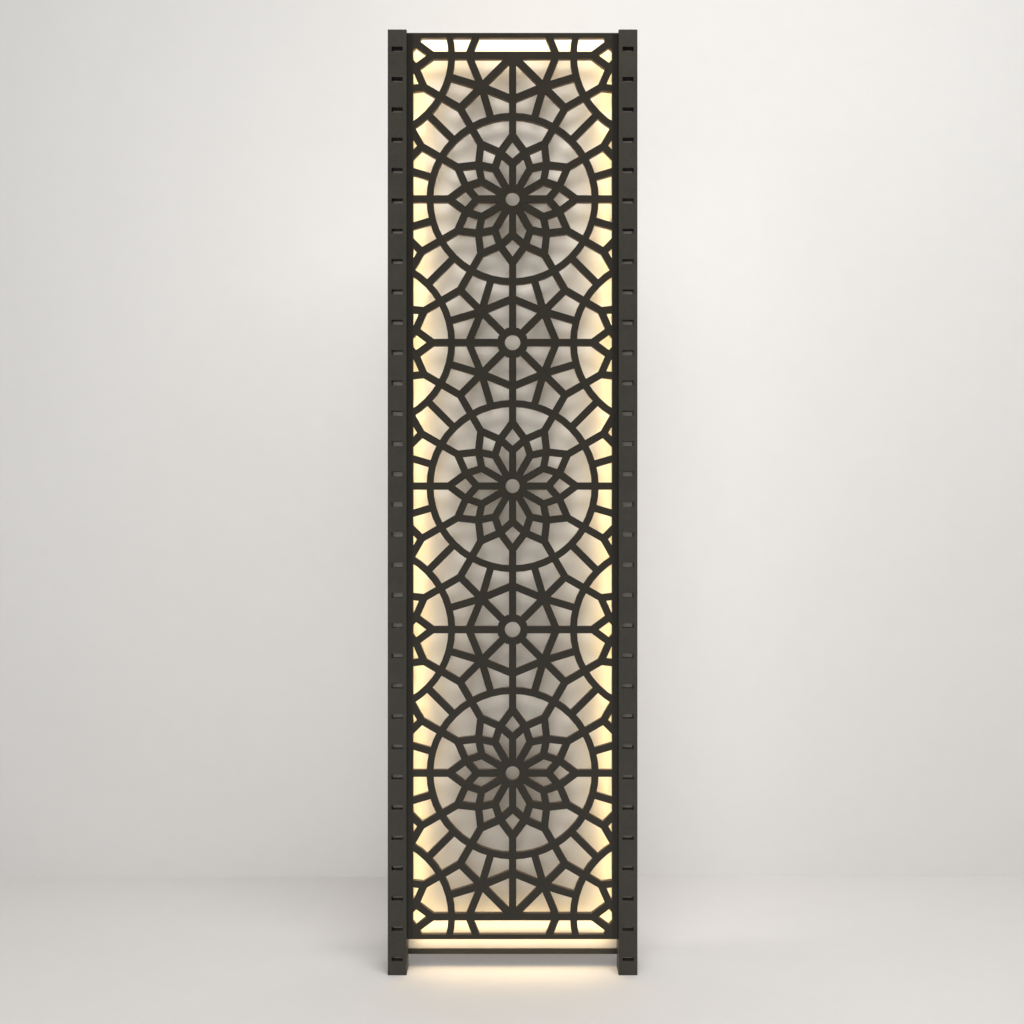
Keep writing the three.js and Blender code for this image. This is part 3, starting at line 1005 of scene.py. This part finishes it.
def screw_material():
    """Blackened steel with a little wear on its rim."""
    settings = bpy.context.scene.fretwork_board
    material, kit, sockets = new_material("screw_black")
    grain = place_grain(kit, SCREW_GRAIN)
    rubbed = place_group(kit, "Edge wear", {"Width": SCREW_WEAR_WIDTH, "Amount": SCREW_WEAR})["Mask"]
    shade = shaded(kit, grain["Shade"], settings.screw_colour, SCREW_SHADES)
    kit.feed(sockets["Base Color"], kit.blend(rubbed, shade, opaque(BARE_STEEL)))
    add_gloss(kit, sockets, grain["Shade"], SCREW_GLOSS)
    sockets["Metallic"].default_value = SCREW_METAL
    add_bump(kit, sockets, grain["Height"], SCREW_RELIEF)
    return material


def room_material(name, base, see_through_back=False):
    """A plain pale surface. A wall may be seen through from behind, so that it hides nothing."""
    material, kit, sockets = new_material(name)
    grain = place_grain(kit, ROOM_GRAIN)
    kit.feed(sockets["Base Color"], shaded(kit, grain["Shade"], base, ROOM_SHADES))
    add_gloss(kit, sockets, grain["Shade"], ROOM_GLOSS)
    sockets["Specular IOR Level"].default_value = ROOM_SHINE
    if see_through_back:
        surface = material.node_tree.get_output_node("ALL").inputs["Surface"]
        behind = kit.add("ShaderNodeNewGeometry").outputs["Backfacing"]
        solid = surface.links[0].from_socket
        clear = kit.result("ShaderNodeBsdfTransparent")
        kit.feed(surface, kit.result("ShaderNodeMixShader", {0: behind, 1: solid, 2: clear}))
    return material


def finish_piece(piece, material, slot, *nodes):
    """Gives a piece its material and body, and hides the imported solids that it replaces."""
    piece.data.materials.clear()
    piece.data.materials.append(material)
    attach(piece, BODY)
    if nodes:
        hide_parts(*nodes)


# Pieces


class FRETWORK_OT_cut_sheet(bpy.types.Operator):
    """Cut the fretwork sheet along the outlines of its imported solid"""

    bl_idname = "fretwork.cut_sheet"
    bl_label = "Cut the sheet"

    def execute(self, context):
        sheet = context.scene.fretwork_sheet
        paint = context.scene.fretwork_paint
        outlines = [
            softened(without_nicks(straightened(outline), sheet.nick), sheet.corner)
            for outline in front_outlines("fretwork_sheet")
        ]
        curves = outline_curve("sheet_outlines", outlines)
        material = paint_material(
            "sheet_paint",
            paint.sheet_colour,
            SHEET_WEAR,
            SHEET_DUST,
            cut_share=SHEET_CUT,
            # The border beside the posts gets painted shade
            painted_shade_from=sheet.border_shadow_start,
        )
        piece = grow("fretwork", cut_sheet_tree(), {
            "Outlines": curves,
            "Thickness": SHEET_HIGH.y - SHEET_LOW.y,
            "Arris": sheet.arris,
            "Back": SHEET_HIGH.y,
            "Finish": material,
        })
        bpy.data.objects.remove(curves)
        tidy_mesh(piece.data)
        weight_normals(piece)
        finish_piece(piece, material, "sheet_paint", "fretwork_sheet")
        return {"FINISHED"}


class FRETWORK_OT_mill_posts(bpy.types.Operator):
    """Mill the two slotted posts"""

    bl_idname = "fretwork.mill_posts"
    bl_label = "Mill the posts"

    def execute(self, context):
        post = context.scene.fretwork_posts
        paint = context.scene.fretwork_paint
        material = paint_material("post_paint", paint.post_colour, POST_WEAR, POST_DUST, slotted=post)
        tree = slotted_post_tree()
        height = POST_HIGH.z - POST_LOW.z
        slots = int((height - 2 * post.slot_margin) / post.slot_pitch + SAME_PLANE) + 1
        for node, side in POST_SIDES.items():
            piece = grow(f"{node}_slotted", tree, {
                "Inner": POST_LOW.x,
                "Outer": POST_HIGH.x,
                "Front": POST_LOW.y,
                "Back": POST_HIGH.y,
                "Height": height,
                "Arris": post.arris,
                "Groove Foot": SHEET_LOW.z - post.groove_clearance,
                "Groove Reach": SHEET_HIGH.x + post.groove_clearance,
                "Groove Front": SHEET_LOW.y - post.groove_clearance,
                "Groove Back": SHEET_HIGH.y + post.groove_clearance,
                "Rebate Reach": POST_LOW.x + post.rebate_width,
                "Shoulder": BOARD_LOW.y - post.board_clearance,
                "Slot Width": post.slot_width,
                "Slot Height": post.slot_height,
                "Slot Depth": post.slot_depth,
                "Slot Pitch": post.slot_pitch,
                "Slot Margin": post.slot_margin,
                "Slot Count": slots,
                "Side": float(side),
                "Overcut": OVERCUT,
                "Finish": material,
            })
            ease_edges(piece, post.edge)
            finish_piece(piece, material, "post_paint", node)
        return {"FINISHED"}


class FRETWORK_OT_fit_board(bpy.types.Operator):
    """Fit the back board and the rail that carries it"""

    bl_idname = "fretwork.fit_board"
    bl_label = "Fit board and rail"

    def execute(self, context):
        settings = context.scene.fretwork_board
        paint = context.scene.fretwork_paint
        board = solid_copy("board", "back_board")
        ease_edges(board, settings.edge)
        finish_piece(board, board_material(), "board_white", "back_board")
        rail = solid_copy("rail", "bottom_rail")
        ease_edges(rail, settings.rail_edge)
        material = paint_material("rail_paint", paint.post_colour, RAIL_WEAR, RAIL_DUST)
        finish_piece(rail, material, "post_paint", "bottom_rail")
        return {"FINISHED"}


def screw_head(radius, rise):
    """One pan head with a cross recess, its seat on y = 0 and its crown towards the back."""
    mesh = bpy.data.meshes.new("screw_head")
    work = bmesh.new()

    def ring(reaches, height):
        """One closed row of points at a height, each at its own share of the radius."""
        row = []
        for i, reach in enumerate(reaches):
            angle = 2 * math.pi * i / SCREW_SIDES
            across = radius * reach * math.cos(angle)
            row.append(work.verts.new((across, rise * height, radius * reach * math.sin(angle))))
        return row

    arm_every = SCREW_SIDES // RECESS_ARMS
    recess = [RECESS_CORE if i % arm_every else RECESS_ARM for i in range(SCREW_SIDES)]
    rows = [ring([reach] * SCREW_SIDES, height) for reach, height in SCREW_RINGS]
    rows.append(ring(recess, RECESS_FLOOR))
    for lower, upper in zip(rows, rows[1:]):
        for i in range(SCREW_SIDES):
            after = (i + 1) % SCREW_SIDES
            work.faces.new((lower[i], lower[after], upper[after], upper[i]))
    work.faces.new(rows[0])
    work.faces.new(rows[-1])
    bmesh.ops.recalc_face_normals(work, faces=work.faces)
    work.to_mesh(mesh)
    work.free()
    return link(bpy.data.objects.new("screw_head", mesh))


class FRETWORK_OT_drive_screws(bpy.types.Operator):
    """Drive the screws that hold the back board in its rebate"""

    bl_idname = "fretwork.drive_screws"
    bl_label = "Drive the screws"

    def execute(self, context):
        settings = context.scene.fretwork_board
        material = screw_material()
        head = screw_head(settings.screw_radius, settings.screw_rise)
        reach = BOARD_HIGH.z - BOARD_LOW.z - 2 * settings.screw_margin
        piece = grow("board_screws", screw_row_tree(), {
            "Screw": head,
            "Across": BOARD_HIGH.x - settings.screw_inset,
            "Face": BOARD_HIGH.y,
            "Foot": BOARD_LOW.z + settings.screw_margin,
            "Pitch": reach / (settings.screw_count - 1),
            "Count": settings.screw_count,
            "Finish": material,
        })
        bpy.data.objects.remove(head)
        tidy_mesh(piece.data)
        finish_piece(piece, material, "post_paint")
        return {"FINISHED"}


class FRETWORK_OT_fit_lights(bpy.types.Operator):
    """Fit the four light strips behind the sheet's border and light them"""

    bl_idname = "fretwork.fit_lights"
    bl_label = "Fit the lights"

    def execute(self, context):
        settings = context.scene.fretwork_lights
        material = lens_material()
        tree = light_sleeve_tree()
        for node in STRIP_NAMES:
            low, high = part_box(node)
            size = high - low
            middle = (low + high) / 2
            upright = size.z > size.x
            thickness = size.y
            width = size.x if upright else size.z
            if upright:
                ends = ((middle.x, low.y, low.z), (middle.x, low.y, high.z))
            else:
                ends = ((low.x, low.y, middle.z), (high.x, low.y, middle.z))
            piece = grow(f"{node}_sleeve", tree, {
                "Start": ends[0],
                "End": ends[1],
                "Width": width,
                "Channel": thickness * (1 - settings.lens_share),
                "Dome": thickness * settings.lens_share,
                "Finish": material,
            })
            tidy_mesh(piece.data)
            weight_normals(piece)
            finish_piece(piece, material, "light_lens", node)
            power = settings.side_power if upright else settings.end_power
            lamp_size = (thickness, size.z) if upright else (size.x, thickness)
            inward = SHEET_MIDDLE - middle
            inward = Vector((inward.x, 0, 0)) if upright else Vector((0, 0, inward.z))
            inward.normalize()
            place = Vector((middle.x, high.y, middle.z)) + inward * (width / 2 + LAMP_GAP)
            aim = place + inward + Vector((0, settings.lean, 0))
            add_area_light(f"{node}_lamp", place, aim, lamp_size, power, settings.glow_colour)
        return {"FINISHED"}


def add_area_light(name, place, aim, size, power, tint, spread=math.pi):
    """A soft rectangular light that the camera doesn't see."""
    light = bpy.data.lights.new(name, "AREA")
    light.shape = "RECTANGLE"
    light.size = size[0]
    light.size_y = size[1]
    light.energy = power
    light.color = tint
    light.spread = spread
    lamp = link(bpy.data.objects.new(name, light))
    lamp.location = place
    lamp.rotation_euler = (Vector(aim) - Vector(place)).to_track_quat("-Z", "Y").to_euler()
    lamp.visible_camera = False
    lamp.visible_glossy = False
    return lamp


def add_sheet_of_room(name, corners, material):
    """One flat surface of the room."""
    mesh = bpy.data.meshes.new(name)
    mesh.from_pydata(corners, [], [tuple(range(len(corners)))])
    mesh.materials.append(material)
    surface = link(bpy.data.objects.new(name, mesh))
    return surface


class FRETWORK_OT_set_stage(bpy.types.Operator):
    """Lay the floor, put up the wall, place the lights and the camera"""

    bl_idname = "fretwork.set_stage"
    bl_label = "Set the stage"

    def execute(self, context):
        scene = context.scene
        stage = scene.fretwork_stage
        lights = scene.fretwork_lights
        half = stage.room_size / 2
        wall_y = POST_LOW.y + stage.wall_distance
        floor = [(-half, -half, 0), (half, -half, 0), (half, half, 0), (-half, half, 0)]
        wall = [(-half, wall_y, 0), (half, wall_y, 0), (half, wall_y, half), (-half, wall_y, half)]
        add_sheet_of_room("floor", floor, room_material("floor_pale", stage.floor_colour))
        wall_paint = room_material("wall_pale", stage.wall_colour, see_through_back=True)
        add_sheet_of_room("wall", wall, wall_paint)
        middle = Vector((0, 0, POST_HIGH.z / 2))
        add_area_light("key_light", KEY_PLACE, KEY_AIM, KEY_SIZE, stage.key_power, WARM_WHITE)
        add_area_light("fill_light", FILL_PLACE, middle, FILL_SIZE, stage.fill_power, PLAIN_WHITE)
        wash = Vector((WASH_SIDE, POST_HIGH.y + WASH_GAP, middle.z))
        add_area_light("wall_wash", wash, wash + TOWARDS_WALL, WASH_SIZE, stage.wash_power, WARM_WHITE)
        opening = (2 * SHEET_HIGH.x * OPENING_SHARE, OPENING_DEPTH)
        between = (SHEET_HIGH.y + BOARD_LOW.y) / 2
        over = Vector((0, between, SHEET_HIGH.z + HALO_RISE))
        under = Vector((0, between, SHEET_LOW.z))
        glow = lights.glow_colour
        behind = over + HALO_COURSE
        add_area_light("top_halo", over, behind, opening, lights.halo_power, glow, lights.halo_spread)
        add_area_light("floor_spill", under, under + SPILL_COURSE, opening, lights.spill_power, glow)
        world = bpy.data.worlds.new("surround")
        world.use_nodes = True
        background = next(node for node in world.node_tree.nodes if node.type == "BACKGROUND")
        background.inputs["Color"].default_value = opaque(stage.sky_colour)
        background.inputs["Strength"].default_value = stage.sky_power
        scene.world = world
        camera_data = bpy.data.cameras.new("photo_camera")
        camera_data.lens = stage.lens
        camera_data.sensor_fit = "HORIZONTAL"
        camera = link(bpy.data.objects.new("photo_camera", camera_data))
        camera.location = (stage.camera_side, POST_LOW.y - stage.camera_distance, stage.camera_height)
        camera.rotation_euler = (math.pi / 2, 0.0, 0.0)
        scene.camera = camera
        scene.view_settings.view_transform = "Standard"
        scene.cycles.use_denoising = True
        return {"FINISHED"}


class FRETWORK_PT_sidebar(bpy.types.Panel):
    """Lists the steps and their sizes"""

    bl_idname = "FRETWORK_PT_sidebar"
    bl_label = "Fretwork screen"
    bl_space_type = "VIEW_3D"
    bl_region_type = "UI"
    bl_category = "Fretwork"

    def draw(self, context):
        for label, operators in STEPS.items():
            box = self.layout.box()
            settings = getattr(context.scene, label)
            for name in settings.__annotations__:
                box.prop(settings, name)
            for operator in operators:
                box.operator(operator)


SETTINGS = {
    "fretwork_paint": PaintSettings,
    "fretwork_sheet": SheetSettings,
    "fretwork_posts": PostSettings,
    "fretwork_board": BoardSettings,
    "fretwork_lights": LightSettings,
    "fretwork_stage": StageSettings,
}
STEPS = {
    "fretwork_paint": (),
    "fretwork_sheet": ("fretwork.cut_sheet",),
    "fretwork_posts": ("fretwork.mill_posts",),
    "fretwork_board": ("fretwork.fit_board", "fretwork.drive_screws"),
    "fretwork_lights": ("fretwork.fit_lights",),
    "fretwork_stage": ("fretwork.set_stage",),
}
CLASSES = (
    *SETTINGS.values(),
    FRETWORK_OT_cut_sheet,
    FRETWORK_OT_mill_posts,
    FRETWORK_OT_fit_board,
    FRETWORK_OT_drive_screws,
    FRETWORK_OT_fit_lights,
    FRETWORK_OT_set_stage,
    FRETWORK_PT_sidebar,
)


def register():
    """Registers the classes and hangs the settings on the scene."""
    for cls in CLASSES:
        bpy.utils.register_class(cls)
    for name, group in SETTINGS.items():
        setattr(bpy.types.Scene, name, PointerProperty(type=group))


def unregister():
    """Takes the settings and the classes away again."""
    for name in SETTINGS:
        delattr(bpy.types.Scene, name)
    for cls in reversed(CLASSES):
        bpy.utils.unregister_class(cls)


def main():
    """Builds the screen and its stage."""
    register()
    bpy.ops.fretwork.cut_sheet()
    bpy.ops.fretwork.mill_posts()
    bpy.ops.fretwork.fit_board()
    bpy.ops.fretwork.drive_screws()
    bpy.ops.fretwork.fit_lights()
    bpy.ops.fretwork.set_stage()


if __name__ == "__main__":
    main()
